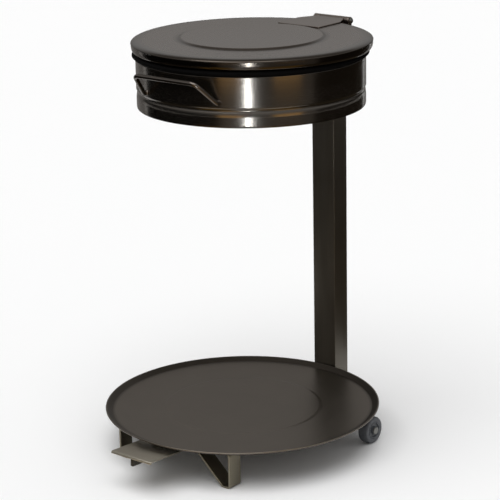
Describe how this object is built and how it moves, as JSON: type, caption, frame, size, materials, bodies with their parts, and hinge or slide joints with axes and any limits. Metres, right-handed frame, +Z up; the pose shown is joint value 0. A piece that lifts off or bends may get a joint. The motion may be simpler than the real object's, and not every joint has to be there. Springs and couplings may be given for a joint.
{
  "type": "pedal trash bag stand",
  "caption": "Stainless steel trash bag stand: a pedal lever lifts a push rod in an oblong column and opens a hinged round lid over a bag ring with a rubber clamp band, above a round foot tray.",
  "frame": {"origin": "middle of the bounding box on the floor, with the front feet and the wheels standing on Z = 0", "axes": "+Z up along the column, -Y towards the pedal and the user, +X to the user's right hand when facing the stand"},
  "size_m": [0.5, 0.5972, 0.747],
  "materials": {
    "satin_stainless": "satin",
    "polished_stainless": "polished",
    "zinc_plated_steel": "zinc plated",
    "black_rubber": "matte",
    "grey_rubber": "matte",
    "grey_nylon": "moulded",
    "black_nylon": "moulded"
  },
  "bodies": {
    "stand": {"base_plate": "satin_stainless", "base_rail": "satin_stainless", "front_foot_left": "satin_stainless", "front_foot_right": "satin_stainless", "wheel_left_hanger": "zinc_plated_steel", "wheel_left_axle": "zinc_plated_steel", "wheel_left_nut": "zinc_plated_steel", "wheel_right_hanger": "zinc_plated_steel", "wheel_right_axle": "zinc_plated_steel", "wheel_right_nut": "zinc_plated_steel", "column": "satin_stainless", "column_foot_plug": "black_nylon", "rod_guide_lower": "black_nylon", "rod_guide_upper": "black_nylon", "ring_saddle": "satin_stainless", "ring_bolt_left": "zinc_plated_steel", "ring_bolt_right": "zinc_plated_steel", "ring_nut_left": "zinc_plated_steel", "ring_nut_right": "zinc_plated_steel", "bag_ring": "polished_stainless", "bag_clamp_band": "black_rubber", "handle": "polished_stainless", "hinge_bracket": "satin_stainless", "hinge_pin": "zinc_plated_steel", "hinge_pin_clip": "zinc_plated_steel", "pedal_pivot_pin": "zinc_plated_steel", "pedal_pivot_clip": "zinc_plated_steel", "pivot_spacer_left": "black_nylon", "pivot_spacer_right": "black_nylon"},
    "lid": {"lid_shell": "satin_stainless", "lid_hinge_strap": "satin_stainless", "lid_crank": "satin_stainless", "crank_pin": "zinc_plated_steel"},
    "pedal": {"pedal_lever": "satin_stainless", "pedal_plate": "satin_stainless"},
    "rod": {"push_rod": "zinc_plated_steel", "rod_yoke": "zinc_plated_steel", "rod_foot": "black_nylon"},
    "wheel_left": {"wheel_left_tyre": "grey_rubber", "wheel_left_hub": "grey_nylon"},
    "wheel_right": {"wheel_right_tyre": "grey_rubber", "wheel_right_hub": "grey_nylon"}
  },
  "joints": [
    {"name": "lid_hinge", "type": "hinge", "parent": "stand", "child": "lid", "pos_m": [0, 0.29163, 0.74], "axis": [-1, 0, 0], "range_deg": [0, 75]},
    {"name": "pedal_pivot", "type": "hinge", "parent": "stand", "child": "pedal", "pos_m": [0, 0.00652, 0.03878], "axis": [1, 0, 0], "range_deg": [0, 6.64]},
    {"name": "push_rod_slide", "type": "slide", "parent": "stand", "child": "rod", "axis": [0, 0, 1], "range_m": [0, 0.0305]},
    {"name": "wheel_left_spin", "type": "hinge", "parent": "stand", "child": "wheel_left", "pos_m": [-0.19499, 0.13461, 0.025], "axis": [1, 0, 0], "continuous": true},
    {"name": "wheel_right_spin", "type": "hinge", "parent": "stand", "child": "wheel_right", "pos_m": [0.19499, 0.13461, 0.025], "axis": [1, 0, 0], "continuous": true}
  ],
  "couplings": [
    {"joint": "pedal_pivot", "follows": "lid_hinge", "ratio": 0.088416},
    {"joint": "push_rod_slide", "follows": "lid_hinge", "m_per_rad": 0.023253}
  ]
}
